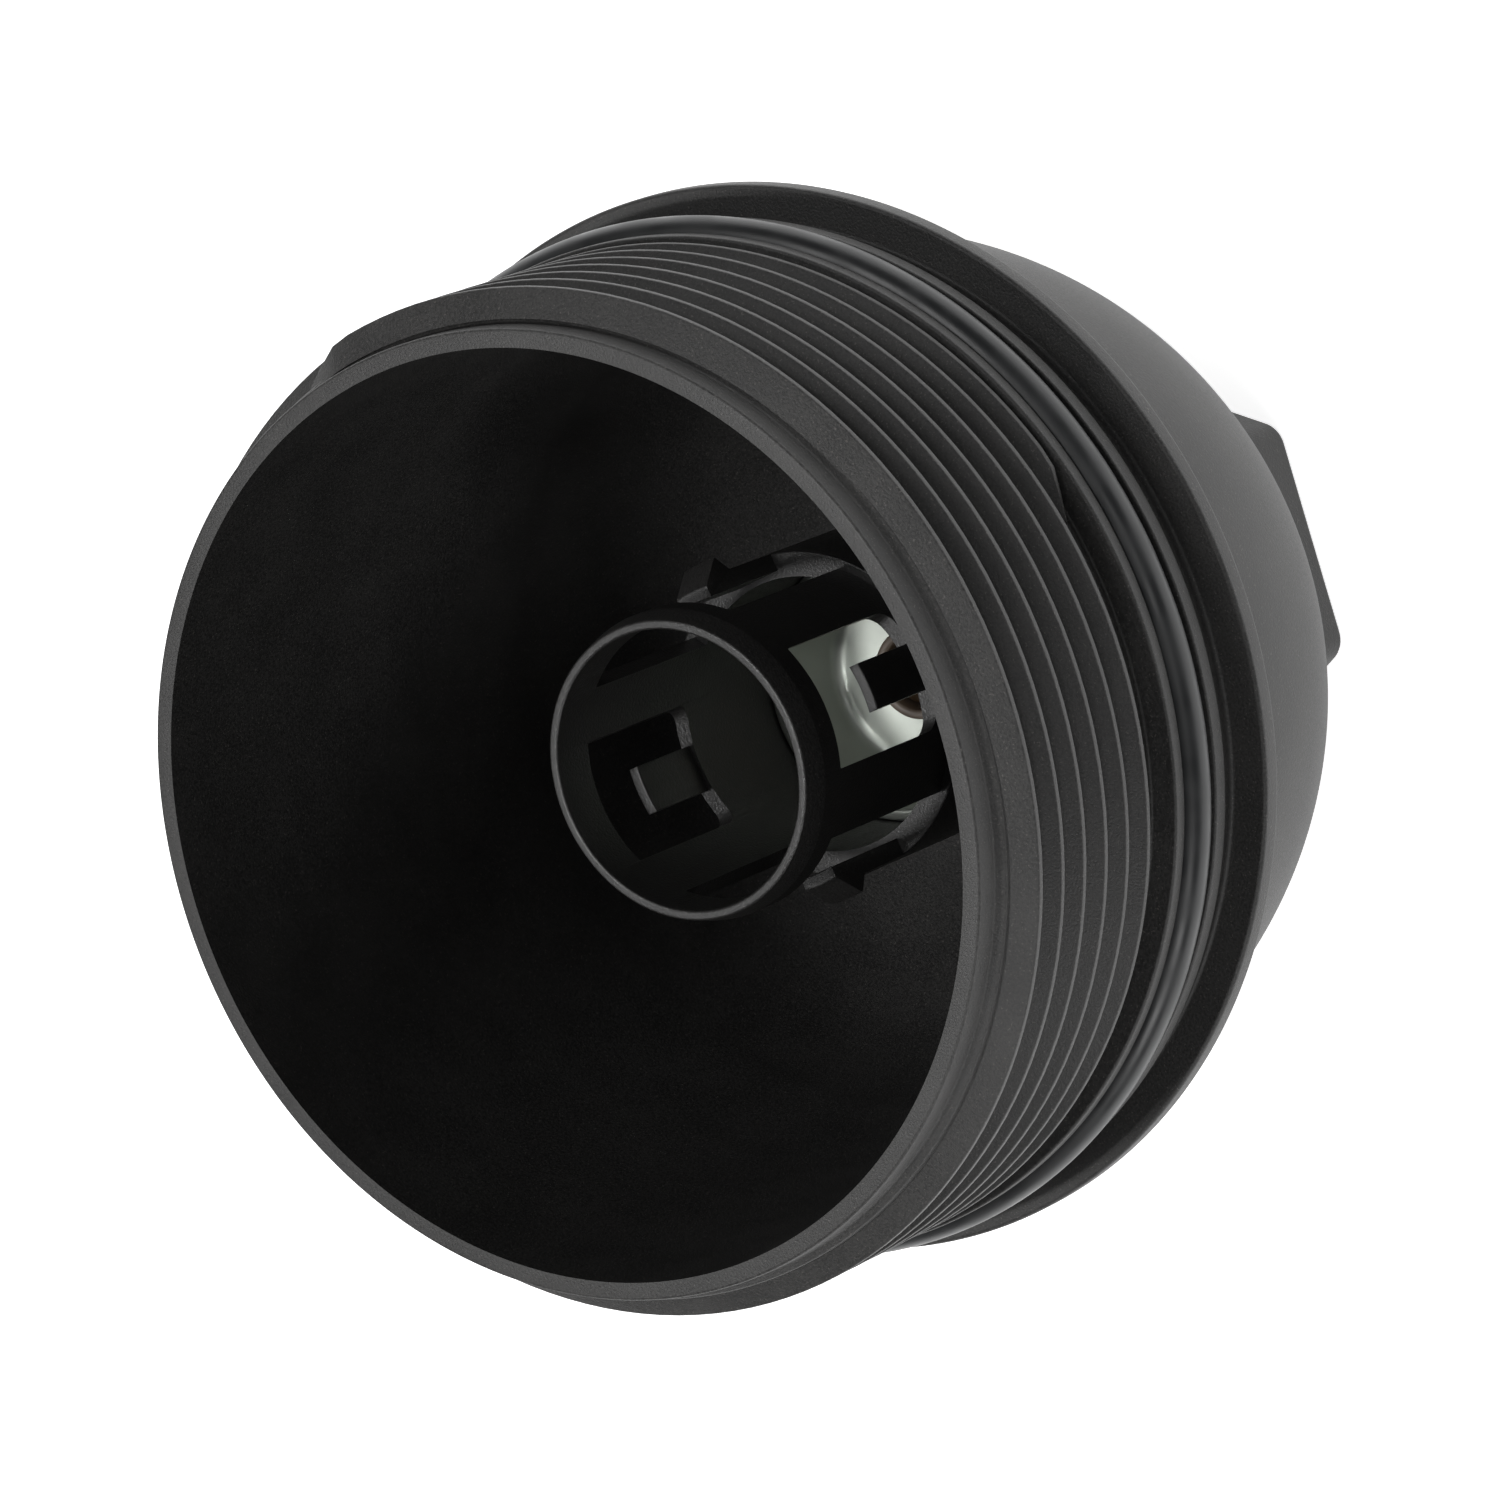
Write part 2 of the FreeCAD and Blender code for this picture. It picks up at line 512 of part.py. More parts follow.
def valve_spring():
    """Open coil spring between the cage and the underside of the poppet's head."""
    room = HEAD_BOTTOM - SPRING_SEAT - 2 * SPRING_END_GAP - SPRING_WIRE
    pitch = room / SPRING_TURNS
    start = V(SPRING_RADIUS, 0, 0)
    wire = Part.Wire(Part.makeCircle(SPRING_WIRE / 2, start, V(0, 1, 0)))
    coil = Part.Wire(Part.makeHelix(pitch, room, SPRING_RADIUS)).makePipeShell([wire], True, True)
    coil.translate(V(0, 0, SPRING_SEAT + SPRING_END_GAP + SPRING_WIRE / 2))
    return coil


def valve_cage():
    """Spoked plate in the foot of the standpipe: spring seat and stem guide."""
    rim = tube(BORE_RADIUS, BORE_RADIUS - CAGE_RIM, CAGE_BOTTOM, SPRING_SEAT)
    hub = tube(CAGE_HUB_RADIUS, STEM_RADIUS + STEM_CLEARANCE, CAGE_BOTTOM, SPRING_SEAT)
    reach = BORE_RADIUS - CAGE_RIM / 2 - (CAGE_HUB_RADIUS - 1)
    middle = (BORE_RADIUS - CAGE_RIM / 2 + CAGE_HUB_RADIUS - 1) / 2
    cage = rim.fuse(hub)
    for k in range(CAGE_SPOKES):
        turn = 360.0 / CAGE_SPOKES * k
        cage = cage.fuse(block(reach, CAGE_SPOKE_WIDTH, CAGE_BOTTOM, SPRING_SEAT, x=middle, azimuth=turn))
    return cage.removeSplitter()


PIECES = {
    "cap_shell": cap_shell(),
    "sealing_ring": sealing_ring(),
    "standpipe": standpipe(),
    "foot_seal": foot_seal(),
    "snap_arm_right": snap_arm(0),
    "snap_arm_left": snap_arm(180),
    "latch_tongue_front": latch_tongue(-90),
    "latch_tongue_rear": latch_tongue(90),
    "valve_cup": valve_cup(),
    "seat_seal": seat_seal(),
    "valve_poppet": valve_poppet(),
    "stem_clip": stem_clip(),
    "valve_spring": valve_spring(),
    "valve_cage": valve_cage(),
}

os.makedirs("parts", exist_ok=True)
for name, shape in PIECES.items():
    shape.exportStep("parts/" + name + ".step")
    box = shape.BoundBox
    print(f"{name:20s} solids {len(shape.Solids)} valid {shape.isValid()} volume {shape.Volume:9.1f} mm3"
          f"  z {box.ZMin:6.2f} to {box.ZMax:6.2f}  across {box.XLength:6.2f}")
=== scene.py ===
# %% [markdown]
# # A screw-on cap for a cartridge oil filter housing
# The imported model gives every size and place. This lesson builds finer, softly rounded versions
# of the moulded pieces on the same dimensions, gives each one a finish, and lights the result.

import math

import bmesh
import bpy
from mathutils import Matrix, Vector


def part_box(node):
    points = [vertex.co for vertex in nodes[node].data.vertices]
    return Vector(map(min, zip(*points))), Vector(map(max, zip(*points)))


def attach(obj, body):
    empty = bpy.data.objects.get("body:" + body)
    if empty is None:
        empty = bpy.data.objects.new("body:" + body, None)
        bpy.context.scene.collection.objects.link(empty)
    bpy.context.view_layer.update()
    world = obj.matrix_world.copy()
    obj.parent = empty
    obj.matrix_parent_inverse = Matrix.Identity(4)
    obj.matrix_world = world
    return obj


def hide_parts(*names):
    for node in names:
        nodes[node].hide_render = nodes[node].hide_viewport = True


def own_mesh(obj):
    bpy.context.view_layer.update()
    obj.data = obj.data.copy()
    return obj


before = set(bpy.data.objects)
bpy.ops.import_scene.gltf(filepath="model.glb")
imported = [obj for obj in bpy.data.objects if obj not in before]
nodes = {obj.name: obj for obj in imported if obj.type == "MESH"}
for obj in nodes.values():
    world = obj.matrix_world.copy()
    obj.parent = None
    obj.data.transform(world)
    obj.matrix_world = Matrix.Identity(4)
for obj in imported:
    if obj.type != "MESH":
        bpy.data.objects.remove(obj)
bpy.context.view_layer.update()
MM = 0.001

# %% [markdown]
# ## The camera
# The mouth is seen from above and in front, so the near wall of the skirt hides the foot of the
# standpipe. A long lens keeps the rim nearly round. The camera is placed by azimuth, elevation and
# distance from a point on the axis of the view, and then rolled, so the cap appears to lie on its side.

# %% Camera
VIEW_AZIMUTH = -92.2
VIEW_ELEVATION = 53.67
VIEW_ROLL = -112.2
VIEW_DISTANCE = 593.9 * MM
VIEW_TARGET = Vector((-1.1, -12.1, 76.9)) * MM
LENS = 195.0


def look(azimuth, elevation, roll):
    """Rotation of a camera or lamp that looks back along the direction given."""
    turn = Matrix.Rotation(math.radians(azimuth) + math.pi / 2, 3, "Z")
    tilt = Matrix.Rotation(math.pi / 2 - math.radians(elevation), 3, "X")
    return turn @ tilt @ Matrix.Rotation(math.radians(roll), 3, "Z")


view = look(VIEW_AZIMUTH, VIEW_ELEVATION, VIEW_ROLL)
camera = bpy.data.objects.new("camera", bpy.data.cameras.new("camera"))
camera.data.lens = LENS
camera.data.sensor_width = 36.0
camera.data.clip_start = 0.01
camera.matrix_world = Matrix.Translation(VIEW_TARGET + view @ Vector((0, 0, VIEW_DISTANCE))) @ view.to_4x4()
bpy.context.scene.collection.objects.link(camera)
bpy.context.scene.camera = camera
print("camera at", [round(value, 3) for value in camera.location])

# %% [markdown]
# ## Shader expressions
# A finish is easier to read as a sum than as a net of nodes. Field wraps a socket and adds a Math
# node for each operator. Finish holds one material and makes every other node by one method.

# %% Shader helpers
class Field:
    """A number that varies over a surface."""

    def __init__(self, finish, socket):
        self.finish = finish
        self.socket = socket

    def math(self, operation, first, second=0.0):
        return self.finish.node("ShaderNodeMath", {"operation": operation}, {0: first, 1: second})

    def __add__(self, other):
        return self.math("ADD", self, other)

    def __mul__(self, other):
        return self.math("MULTIPLY", self, other)

    def step(self, low, high, bottom=0.0, top=1.0):
        """Smooth change from bottom to top as the value goes from low to high."""
        ends = {"From Min": low, "From Max": high, "To Min": bottom, "To Max": top}
        smooth = {"interpolation_type": "SMOOTHSTEP"}
        return self.finish.node("ShaderNodeMapRange", smooth, {"Value": self, **ends})


class Finish:
    """One material: its name, its nodes and its Principled shader."""

    def __init__(self, name, **uniform):
        self.material = bpy.data.materials.new(name)
        self.material.use_nodes = True
        self.tree = self.material.node_tree
        self.shader = self.tree.nodes["Principled BSDF"]
        self.set(self.shader, {key.replace("_", " "): value for key, value in uniform.items()})
        place = self.node("ShaderNodeTexCoord", output="Object")
        self.place = self.node("ShaderNodeVectorMath", {"operation": "SCALE"}, {0: place, "Scale": 1 / MM})

    def set(self, node, sockets):
        for key, value in sockets.items():
            if isinstance(value, Field):
                self.tree.links.new(value.socket, node.inputs[key])
            else:
                node.inputs[key].default_value = value

    def node(self, kind, settings=None, sockets=None, output=0):
        made = self.tree.nodes.new(kind)
        for key, value in (settings or {}).items():
            setattr(made, key, value)
        self.set(made, sockets or {})
        return Field(self, made.outputs[output])

    def noise(self, per_mm, detail=2.0, roughness=0.5):
        """Cloudy noise with this many features per millimetre."""
        sockets = {"Vector": self.place, "Scale": per_mm, "Detail": detail, "Roughness": roughness}
        return self.node("ShaderNodeTexNoise", None, sockets)

    def mix(self, factor, first, second):
        sockets = {0: factor, 6: first, 7: second}
        return self.node("ShaderNodeMix", {"data_type": "RGBA"}, sockets, 2)

    def bump(self, height, depth_mm, strength=1.0):
        sockets = {"Height": height, "Distance": depth_mm * MM, "Strength": strength}
        self.set(self.shader, {"Normal": self.node("ShaderNodeBump", None, sockets)})

    def surface(self, **varying):
        self.set(self.shader, {key.replace("_", " "): value for key, value in varying.items()})


# %% [markdown]
# ## Black glass-filled nylon
# The mould is blasted, so the skin is a fine matte grain and not a polish. The glass fibres make
# slow clouds in the colour, and their ends show as fine pale specks.
# The grain is noise in Object coordinates, so it keeps one size on every piece.

# %% Nylon finishes
def grey(value, warmth=0.0):
    return (value * (1 + warmth), value, value * (1 - warmth), 1.0)


def nylon(name, dark, light, grain_mm, roughness, dust):
    finish = Finish(name, IOR=1.50)
    grain = finish.noise(1 / grain_mm, 3.0, 0.6)
    clouds = finish.noise(0.18, 4.0)
    shade = grain * 0.75 + clouds * 0.25
    tone = finish.mix(shade.step(0.36, 0.64), grey(dark, 0.02), grey(light, 0.03))
    specks = finish.noise(6.5, 0.0).step(0.78 - dust, 0.86 - dust)
    finish.surface(Base_Color=finish.mix(specks * 0.4, tone, grey(0.12, 0.08)))
    finish.surface(Roughness=grain.step(0.3, 0.7, roughness - 0.06, roughness + 0.06))
    finish.bump(grain, 0.05, 0.9)
    return finish.material


SHELL_NYLON = nylon("blasted_black_nylon", 0.014, 0.032, 0.20, 0.52, 0.06)
PIPE_NYLON = nylon("satin_black_nylon", 0.013, 0.020, 0.22, 0.36, 0.0)
print("nylon finishes:", SHELL_NYLON.name, PIPE_NYLON.name)

# %% [markdown]
# ## Rubber
# The sealing ring is smooth moulded nitrile, a little bluer and shinier than the nylon. It has a
# thin film of oil, so its roughness wanders slowly. The seat of the valve is brown fluoro rubber.

# %% Rubber finishes
def rubber(name, dark, light, roughness):
    finish = Finish(name, IOR=1.52)
    film = finish.noise(0.25, 2.0)
    fine = finish.noise(6.0, 2.0)
    finish.surface(Base_Color=finish.mix(film.step(0.35, 0.65), dark, light))
    finish.surface(Roughness=film.step(0.3, 0.7, roughness - 0.05, roughness + 0.08))
    finish.bump(fine, 0.006, 0.5)
    return finish.material


SEAL_RUBBER = rubber("seal_rubber", (0.014, 0.015, 0.016, 1), (0.021, 0.022, 0.023, 1), 0.40)
SEAT_RUBBER = rubber("seat_rubber", (0.075, 0.058, 0.046, 1), (0.120, 0.095, 0.075, 1), 0.42)

# %% [markdown]
# ## Plated metal
# The valve cup is pressed steel with a dull zinc plate, faintly green. The press leaves soft
# stretch marks, and the plate has a fine crystal grain. The spring and clip are plain drawn wire.

# %% Metal finishes
def metal(name, dark, light, roughness, per_mm):
    finish = Finish(name)
    grain = finish.noise(per_mm, 3.0)
    stain = finish.noise(0.3, 3.0)
    finish.surface(Base_Color=finish.mix(grain * 0.5 + stain * 0.5, dark, light))
    finish.surface(Metallic=stain.step(0.2, 0.8, 0.86, 1.0))
    finish.surface(Roughness=grain.step(0.3, 0.7, roughness - 0.07, roughness + 0.07))
    finish.bump(grain, 0.008, 0.5)
    return finish.material


ZINC = metal("dull_zinc_plate", (0.40, 0.43, 0.39, 1), (0.58, 0.61, 0.56, 1), 0.46, 3.0)
BRONZE = metal("dull_bronze", (0.10, 0.065, 0.040, 1), (0.22, 0.15, 0.09, 1), 0.38, 3.0)
WIRE = metal("drawn_wire", (0.40, 0.40, 0.41, 1), (0.60, 0.60, 0.62, 1), 0.28, 8.0)

# %% [markdown]
# ## Turned pieces
# Nearly everything here is round. A profile is a short list of corners, each with its own
# rounding, and a turn of that profile about Z makes the piece. Small rounded corners catch the
# light as moulded edges do, so they belong in the shape.

# %% Profile and turning helpers
ARC_STEPS = 6
SEGMENTS = 288


def rounded(corners, closed=True):
    """Profile points in mm from corners of (radius, z, rounding)."""
    points = []
    count = len(corners)
    for index, (radius, z, rounding) in enumerate(corners):
        here = Vector((radius, z))
        if not rounding or (not closed and index in (0, count - 1)):
            points.append(here)
            continue
        before = (Vector(corners[index - 1][:2]) - here).normalized()
        after = (Vector(corners[(index + 1) % count][:2]) - here).normalized()
        half = before.angle(after) / 2
        reach = rounding / math.tan(half)
        centre = here + (before + after).normalized() * rounding / math.sin(half)
        start = here + before * reach - centre
        sweep = start.angle_signed(here + after * reach - centre)
        for step in range(ARC_STEPS + 1):
            turn = Matrix.Rotation(-sweep * step / ARC_STEPS, 2)
            points.append(centre + turn @ start)
    return points


def finished(name, mesh_maker, material, body, replaced=(), sharp=40.0):
    """Turns a bmesh in mm into an object with its finish and its place in the frame."""
    for vertex in mesh_maker.verts:
        vertex.co *= MM
    bmesh.ops.recalc_face_normals(mesh_maker, faces=mesh_maker.faces)
    mesh = bpy.data.meshes.new(name)
    mesh_maker.to_mesh(mesh)
    mesh_maker.free()
    return placed(name, mesh, material, body, replaced, sharp)


def placed(name, mesh, material, body, replaced=(), sharp=40.0):
    mesh.shade_smooth()
    mesh.set_sharp_from_angle(angle=math.radians(sharp))
    mesh.materials.clear()
    mesh.materials.append(material)
    piece = bpy.data.objects.new(name, mesh)
    bpy.context.scene.collection.objects.link(piece)
    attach(piece, body)
    if replaced:
        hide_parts(*replaced)
    print(f"{name}: {len(mesh.polygons)} faces")
    return piece


def turned(profile_at, segments=SEGMENTS, around=True):
    """Turns a closed profile about Z. profile_at gives the points in mm for an azimuth."""
    maker = bmesh.new()
    rings = []
    for step in range(segments):
        azimuth = math.tau * step / segments
        cos, sin = math.cos(azimuth), math.sin(azimuth)
        rings.append([maker.verts.new((p.x * cos, p.x * sin, p.y)) for p in profile_at(azimuth)])
    count = len(rings[0])
    pairs = count if around else count - 1
    for step in range(segments):
        ring, following = rings[step], rings[(step + 1) % segments]
        for k in range(pairs):
            after = (k + 1) % count
            maker.faces.new((ring[k], following[k], following[after], ring[after]))
    bmesh.ops.remove_doubles(maker, verts=maker.verts, dist=1e-4)
    bmesh.ops.dissolve_degenerate(maker, edges=maker.edges, dist=1e-5)
    return maker


def turned_piece(name, corners, material, body, replaced=(), segments=SEGMENTS):
    points = rounded(corners)
    return finished(name, turned(lambda azimuth: points, segments), material, body, replaced)


# %% [markdown]
# ## The cap
# The cap is one moulding: a thin skirt, the seal groove, a flange, and a dome that ends in a
# hexagon. Its outline changes with azimuth only at the hexagon, so the whole shell is one turn of
# a profile that depends on azimuth. At each step the dome runs into the hexagon through a small
# fillet, worked out as a circle that touches the sphere and the flat.

# %% Cap sizes, in mm
shell_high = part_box("cap_shell")[1]
HEIGHT = shell_high.z / MM
FLANGE_RADIUS = shell_high.x / MM
LIP_RADIUS = 36.5
MOUTH_RADIUS = 35.1
MOUTH_DRAFT = 0.5
THREAD_RADIUS = 39.0
ROOT_RADIUS = THREAD_RADIUS - 1.84
NECK_DEPTH = 2.1
NECK_RUNOUT = 0.5
RIDGE_DEPTH = 22.7
RIDGE_LENGTH = 1.3
RIDGE_RADIUS = THREAD_RADIUS + 0.3
GROOVE_LENGTH = 3.95
GROOVE_RADIUS = THREAD_RADIUS - 1.65
LAND_LENGTH = 1.45
LAND_RADIUS = THREAD_RADIUS + 0.6
RELIEF_RADIUS = THREAD_RADIUS - 0.4
FLANGE_Z = HEIGHT - 31.8
FLANGE_LENGTH = 1.95
SHOULDER_FILLET = 1.2
DOME_RADIUS = 36.2
DOME_Z = HEIGHT - 41.2
DOME_WALL = 3.2
HEX_FLAT = 16.0
HEX_CORNER = 2.2
HEX_TURN = -99.0
HEX_FILLET = 1.2
HEX_EDGE = 0.8
POCKET_RADIUS = 9.0
POCKET_FLOOR = 4.0
POCKET_DEPTH = DOME_Z - DOME_RADIUS + DOME_WALL - POCKET_FLOOR
DOME_STEPS = 40
print("cap", HEIGHT, "mm high, flange radius", FLANGE_RADIUS)


# %% Hexagon and dome rules
def hexagon_radius(azimuth):
    """Distance from the axis to a hexagon with rounded corners."""
    off_flat = (math.degrees(azimuth) - HEX_TURN + 30.0) % 60.0 - 30.0
    delta = math.radians(abs(off_flat))
    corner_start = math.atan((HEX_FLAT - HEX_CORNER) * math.tan(math.pi / 6) / HEX_FLAT)
    if delta <= corner_start:
        return HEX_FLAT / math.cos(delta)
    centre = (HEX_FLAT - HEX_CORNER) / math.cos(math.pi / 6)
    off_corner = math.pi / 6 - delta
    return centre * math.cos(off_corner) + math.sqrt(HEX_CORNER ** 2 - (centre * math.sin(off_corner)) ** 2)


def circle_points(centre, radius, start, end, steps):
    """Points on a circle from one angle to another, in radians."""
    angles = [start + (end - start) * k / steps for k in range(steps + 1)]
    return [Vector((centre.x + radius * math.cos(a), centre.y + radius * math.sin(a))) for a in angles]


def dome_to_end(azimuth):
    """Outside of the dome, fillet, hexagon flat and end pocket at one azimuth."""
    flat = hexagon_radius(azimuth)
    middle = Vector((0, DOME_Z))
    reach = DOME_RADIUS + HEX_FILLET
    fillet_r = flat + HEX_FILLET
    fillet = Vector((fillet_r, DOME_Z - math.sqrt(reach ** 2 - fillet_r ** 2)))
    touch = math.atan2(fillet.y - middle.y, fillet.x)
    points = circle_points(middle, DOME_RADIUS, 0.0, touch, DOME_STEPS)
    points += circle_points(fillet, HEX_FILLET, touch + math.pi, math.pi, ARC_STEPS)
    end = rounded([
        (flat, 10.0, 0), (flat, 0, HEX_EDGE), (POCKET_RADIUS, 0, 0.4),
        (POCKET_RADIUS - 0.2, POCKET_DEPTH, 0.8), (0, POCKET_DEPTH, 0),
    ], closed=False)
    return points + end


# %% Build the cap
def cap_corners():
    """Corners of the outside from the mouth down to the shoulder under the flange."""
    neck_end = HEIGHT - NECK_DEPTH
    ridge = HEIGHT - RIDGE_DEPTH
    groove_top = ridge - RIDGE_LENGTH
    groove_end = groove_top - GROOVE_LENGTH
    land_end = groove_end - LAND_LENGTH
    flange_end = FLANGE_Z - FLANGE_LENGTH
    return [
        (MOUTH_RADIUS, HEIGHT, 0.30), (LIP_RADIUS, HEIGHT, 0.25),
        (LIP_RADIUS, neck_end, 0.4), (ROOT_RADIUS, neck_end - NECK_RUNOUT, 0.3),
        (ROOT_RADIUS, ridge, 0.25), (RIDGE_RADIUS, ridge, 0.25), (RIDGE_RADIUS, groove_top, 0.2),
        (GROOVE_RADIUS, groove_top, 0.3), (GROOVE_RADIUS, groove_end, 0.3),
        (LAND_RADIUS, groove_end, 0.2), (LAND_RADIUS, land_end, 0.2),
        (RELIEF_RADIUS, land_end, 0.25), (RELIEF_RADIUS, FLANGE_Z, 0.4),
        (FLANGE_RADIUS, FLANGE_Z, 0.35), (FLANGE_RADIUS, flange_end, 0.45),
        (DOME_RADIUS, flange_end, SHOULDER_FILLET), (DOME_RADIUS, DOME_Z, 0),
    ]


def cap_inside():
    """Inside from the dome's pole up to the mouth."""
    inner = DOME_RADIUS - DOME_WALL
    middle = Vector((0, DOME_Z))
    bowl = circle_points(middle, inner, -math.pi / 2, 0.0, DOME_STEPS)
    bowl[0].x = 0.0
    return bowl + [Vector((MOUTH_RADIUS - MOUTH_DRAFT, FLANGE_Z))]


CAP_TOP = rounded(cap_corners(), closed=False)
CAP_INSIDE = cap_inside()
CAP_SEGMENTS = 360


def cap_profile(azimuth):
    return CAP_INSIDE + CAP_TOP + dome_to_end(azimuth)


cap_maker = turned(cap_profile, CAP_SEGMENTS, around=False)
cap = finished("cap", cap_maker, SHELL_NYLON, "cap", ("cap_shell",))

# %% [markdown]
# ## The thread
# A thread is one profile swept along a helix, so Geometry Nodes make it from a spiral curve and
# Curve to Mesh. The curve's normal is held square to Z, so the tooth never twists. The scale of
# the profile rises from nothing over a few degrees at each end, which gives the run-outs.

# %% Geometry Nodes helper
class Tree:
    """A Geometry Nodes tree with named number inputs."""

    def __init__(self, name):
        self.group = bpy.data.node_groups.new(name, "GeometryNodeTree")
        self.group.interface.new_socket("Geometry", in_out="OUTPUT", socket_type="NodeSocketGeometry")
        self.inputs = self.group.nodes.new("NodeGroupInput")
        self.values = {}

    def number(self, name, value, kind="NodeSocketFloat"):
        socket = self.group.interface.new_socket(name, in_out="INPUT", socket_type=kind)
        self.values[socket.identifier] = value
        return self.inputs.outputs[name]

    def node(self, kind, settings=None, sockets=None, output=0):
        made = self.group.nodes.new(kind)
        for key, value in (settings or {}).items():
            setattr(made, key, value)
        for key, value in (sockets or {}).items():
            if isinstance(value, bpy.types.NodeSocket):
                self.group.links.new(value, made.inputs[key])
            else:
                made.inputs[key].default_value = value
        return made.outputs[output]

    def math(self, operation, first, second):
        return self.node("ShaderNodeMath", {"operation": operation}, {0: first, 1: second})

    def mesh(self, geometry, material):
        """Ends the tree, runs it once on an empty mesh and returns the plain mesh."""
        real = self.node("GeometryNodeRealizeInstances", None, {0: geometry})
        last = self.node("GeometryNodeSetMaterial", None, {"Geometry": real, "Material": material})
        result = self.group.nodes.new("NodeGroupOutput")
        self.group.links.new(last, result.inputs[0])
        host = bpy.data.objects.new(self.group.name, bpy.data.meshes.new(self.group.name))
        bpy.context.scene.collection.objects.link(host)
        modifier = host.modifiers.new("build", "NODES")
        modifier.node_group = self.group
        for identifier, value in self.values.items():
            modifier[identifier] = value
        evaluated = host.evaluated_get(bpy.context.evaluated_depsgraph_get())
        mesh = bpy.data.meshes.new_from_object(evaluated)
        host.modifiers.remove(modifier)
        bpy.data.objects.remove(host)
        return mesh


def loop_mesh(corners):
    """A closed outline for a sweep's section."""
    maker = bmesh.new()
    loop = [maker.verts.new((p.x * MM, p.y * MM, 0)) for p in corners]
    for k, vertex in enumerate(loop):
        maker.edges.new((vertex, loop[(k + 1) % len(loop)]))
    mesh = bpy.data.meshes.new("section")
    maker.to_mesh(mesh)
    maker.free()
    section = bpy.data.objects.new("section", mesh)
    bpy.context.scene.collection.objects.link(section)
    return section


def swept_helix(name, section, radius, height, turns, lead, material, low, start):
    """A section swept up a right-hand helix that starts at an azimuth and a height, in mm."""
    tree = Tree(name)
    path = tree.node("GeometryNodeCurveSpiral", None, {
        "Resolution": 144, "Rotations": tree.number("Turns", turns),
        "Start Radius": tree.number("Radius", radius * MM), "End Radius": tree.inputs.outputs["Radius"],
        "Height": tree.number("Rise", height * MM), "Reverse": True})
    path = tree.node("GeometryNodeSetCurveNormal", {"mode": "Z_UP"}, {"Curve": path})
    along = tree.node("GeometryNodeSplineParameter")
    left = tree.math("SUBTRACT", 1.0, along)
    nearest = tree.math("MINIMUM", along, left)
    ramp = tree.math("DIVIDE", nearest, tree.number("Lead in", lead / 360.0 / turns))
    scale = tree.math("MINIMUM", ramp, 1.0)
    outline = tree.node("GeometryNodeObjectInfo", None, {"Object": section}, "Geometry")
    outline = tree.node("GeometryNodeMeshToCurve", None, {0: outline})
    solid = tree.node("GeometryNodeCurveToMesh", None, {
        "Curve": path, "Profile Curve": outline, "Scale": scale, "Fill Caps": True})
    mesh = tree.mesh(solid, material)
    bpy.data.objects.remove(section)
    mesh.transform(Matrix.Translation((0, 0, low * MM)) @ Matrix.Rotation(math.radians(start), 4, "Z"))
    return mesh


# %% Thread
THREAD_PITCH = 3.0
THREAD_TURNS = 6.27
THREAD_START = 12.5
THREAD_TOP = HEIGHT - 3.2
THREAD_LEAD_IN = 8.0
THREAD_SINK = 0.3
HALF_CREST = 0.25
CREST_ROUNDING = 0.20
TOOTH_HEIGHT = THREAD_RADIUS - ROOT_RADIUS + THREAD_SINK
HALF_ROOT = HALF_CREST + TOOTH_HEIGHT * math.tan(math.pi / 6)
tooth = rounded([
    (0, -HALF_ROOT, 0), (TOOTH_HEIGHT, -HALF_CREST, CREST_ROUNDING),
    (TOOTH_HEIGHT, HALF_CREST, CREST_ROUNDING), (0, HALF_ROOT, 0),
])
thread_run = THREAD_PITCH * THREAD_TURNS
thread_mesh = swept_helix("thread", loop_mesh(tooth), ROOT_RADIUS - THREAD_SINK, thread_run, THREAD_TURNS,
                          THREAD_LEAD_IN, SHELL_NYLON, THREAD_TOP - thread_run,
                          THREAD_START - 360 * THREAD_TURNS)
spread = [v.co.xy.length / MM for v in thread_mesh.vertices]
print("thread radii", round(min(spread), 2), round(max(spread), 2))
thread = placed("thread", thread_mesh, SHELL_NYLON, "cap")

# %% [markdown]
# ## The sealing ring
# The ring is a round rubber cord. It rests against the ridge at the front of its groove and leaves
# a narrow gap at the back. It is a turn of a circle.

# %% Sealing ring
seal_low, seal_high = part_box("sealing_ring")
SEAL_RADIUS = (seal_high.z - seal_low.z) / 2 / MM
SEAL_Z = (seal_high.z + seal_low.z) / 2 / MM
seal_middle = Vector((seal_high.x / MM - SEAL_RADIUS, SEAL_Z))
seal_section = circle_points(seal_middle, SEAL_RADIUS, 0, math.tau, 40)[:-1]
seal_maker = turned(lambda azimuth: seal_section)
seal = finished("seal_cord", seal_maker, SEAL_RUBBER, "cap", ("sealing_ring",))

# %% [markdown]
# ## The standpipe
# The centre tube is turned first and its windows are cut afterwards, as the mould's side cores
# do. A small bevel then softens the cut edges. The two wide windows hold the snap arms, and the
# two narrow ones hold the tongues.

# %% Standpipe sizes, in mm
pipe_low, pipe_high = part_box("standpipe")
PIPE_TOP = pipe_high.z / MM
PIPE_FOOT = pipe_low.z / MM
COLLAR_RADIUS = pipe_high.x / MM
PIPE_RADIUS = 12.0
RIM_RADIUS = 11.5
RIM_TAPER = 2.0
BORE_RADIUS = 10.8
LEDGE = HEIGHT - 35.2
WINDOW_TOP = HEIGHT - 20.1
SILL = HEIGHT - 33.6
CAGE_TOP = PIPE_FOOT + 6.0
CUP_STEP = HEIGHT - 45.8
STEP_RADIUS = 10.0
ARM_WINDOW_HALF = 39.0
TONGUE_WINDOW_HALF = PIPE_RADIUS * math.sin(math.radians(24))
PORT_HALF = 3.0
PORT_LOW = PIPE_FOOT + 9.0
PORT_HIGH = PORT_LOW + 7.0


